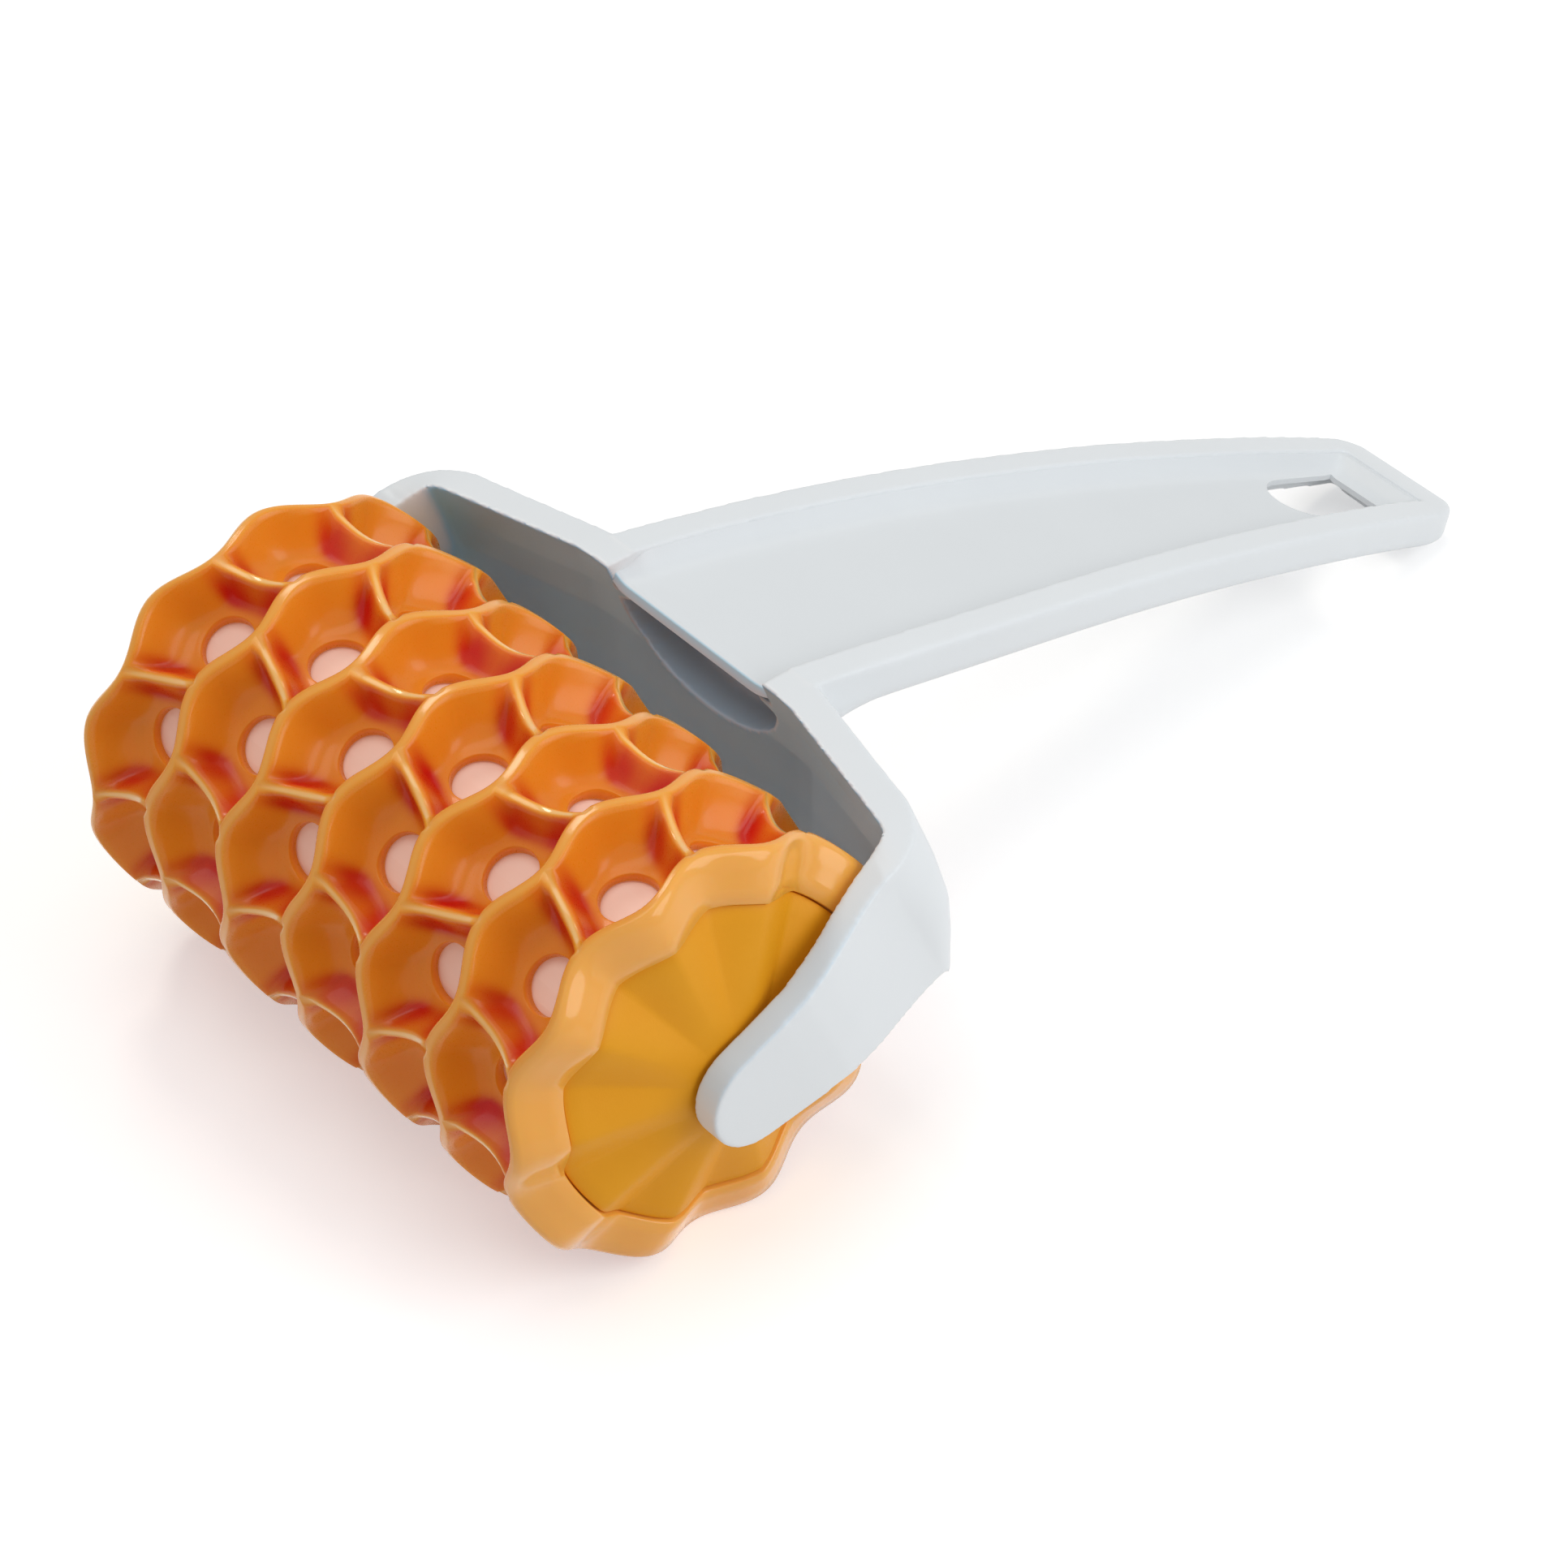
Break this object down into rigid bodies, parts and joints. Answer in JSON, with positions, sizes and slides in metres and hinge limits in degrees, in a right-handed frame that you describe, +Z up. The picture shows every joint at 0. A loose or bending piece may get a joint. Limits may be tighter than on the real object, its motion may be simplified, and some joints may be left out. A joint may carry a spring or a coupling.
{
  "type": "breadstick roller",
  "caption": "Hand roller with a waved lattice drum that cuts rolled dough into breadsticks, held in a yoke with a tray handle and a hanging slot.",
  "frame": {"origin": "on the table, below the middle of the tool's bounding box, with the tool lying on its drum and on its handle's end", "axes": "+X from the drum towards the handle's end, +Y along the drum's axle, +Z up from the table"},
  "size_m": [0.2008, 0.1138, 0.0613],
  "materials": {
    "cutter_orange": "glossy, slightly translucent orange",
    "cap_amber": "satin yellow-orange",
    "core_pale": "matt, pale",
    "handle_white": "satin white",
    "panel_white": "satin white, finely textured",
    "axle_steel": "drawn bar"
  },
  "bodies": {
    "handle": {"handle_shell": "handle_white", "tray_panel": "panel_white", "axle_rod": "axle_steel"},
    "drum": {"cutter_drum": "cutter_orange", "drum_core": "core_pale", "end_cap_far": "cap_amber", "end_cap_near": "cap_amber"}
  },
  "joints": [
    {"name": "drum_spin", "type": "hinge", "parent": "handle", "child": "drum", "pos_m": [-0.06978, 0, 0.03065], "axis": [0, 1, 0], "continuous": true}
  ]
}
